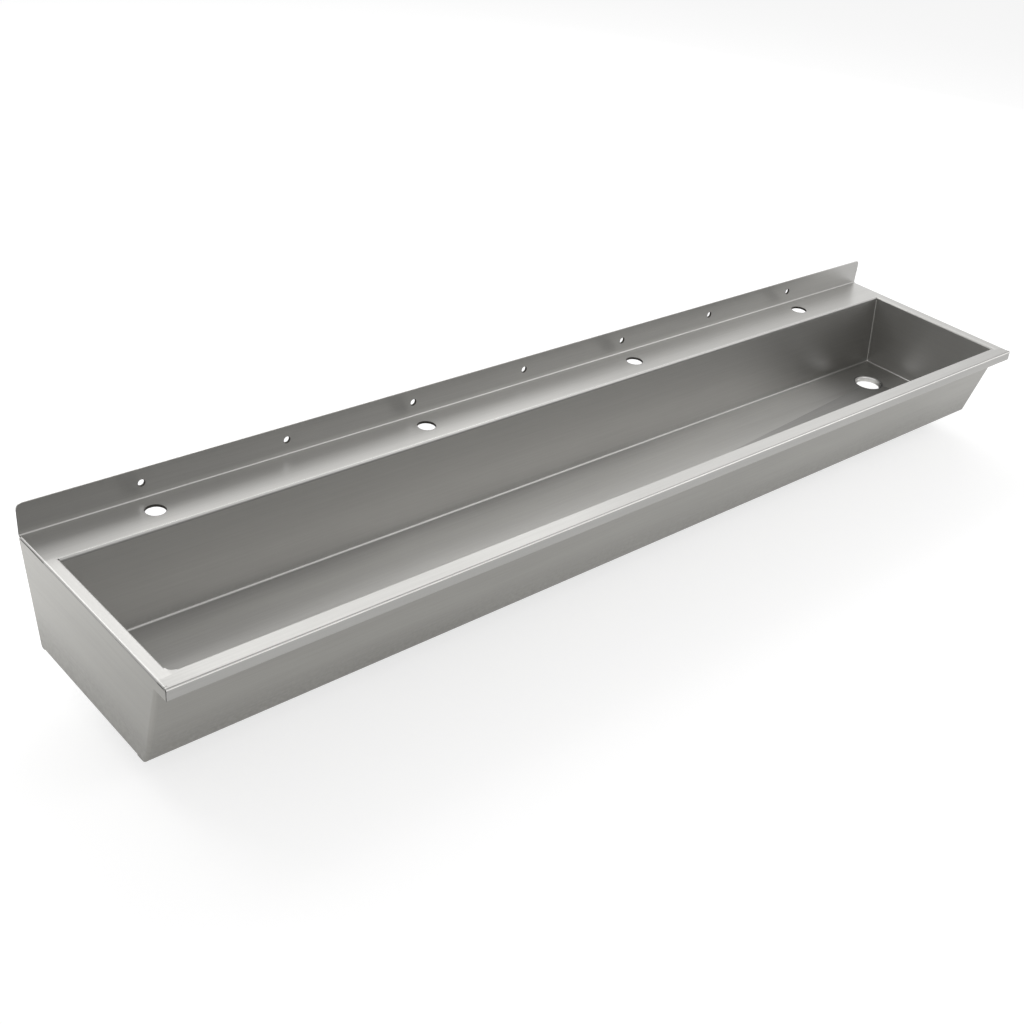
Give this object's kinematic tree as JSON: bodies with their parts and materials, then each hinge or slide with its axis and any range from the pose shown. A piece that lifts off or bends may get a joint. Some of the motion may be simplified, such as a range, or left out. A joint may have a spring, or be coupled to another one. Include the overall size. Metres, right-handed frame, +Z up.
{
  "type": "wall-hung wash trough",
  "caption": "Long wall-hung wash trough in brushed stainless sheet, with a tap ledge, a drilled upstand, a raked bowl draining at the right end and a sloping skirt.",
  "frame": {"origin": "centre of the middle wall fixing hole, on the wall plane at the back of the fixing bar", "axes": "+X along the trough, to the right as seen from the front; +Y into the wall; +Z up"},
  "size_m": [2.32, 0.5, 0.27],
  "materials": {
    "body_steel": "satin brushed along the length",
    "end_steel": "satin brushed from back to front",
    "skirt_steel": "satin brushed",
    "backing_steel": "plain mill",
    "outlet_steel": "turned and polished"
  },
  "bodies": {
    "root": {"trough_body": "body_steel", "left_bowl_end": "end_steel", "right_bowl_end": "end_steel", "skirt": "skirt_steel", "ledge_channel": "backing_steel", "fixing_bar": "backing_steel", "waste_outlet": "outlet_steel", "brace_left": "backing_steel", "brace_middle": "backing_steel", "brace_right": "backing_steel"}
  },
  "joints": []
}
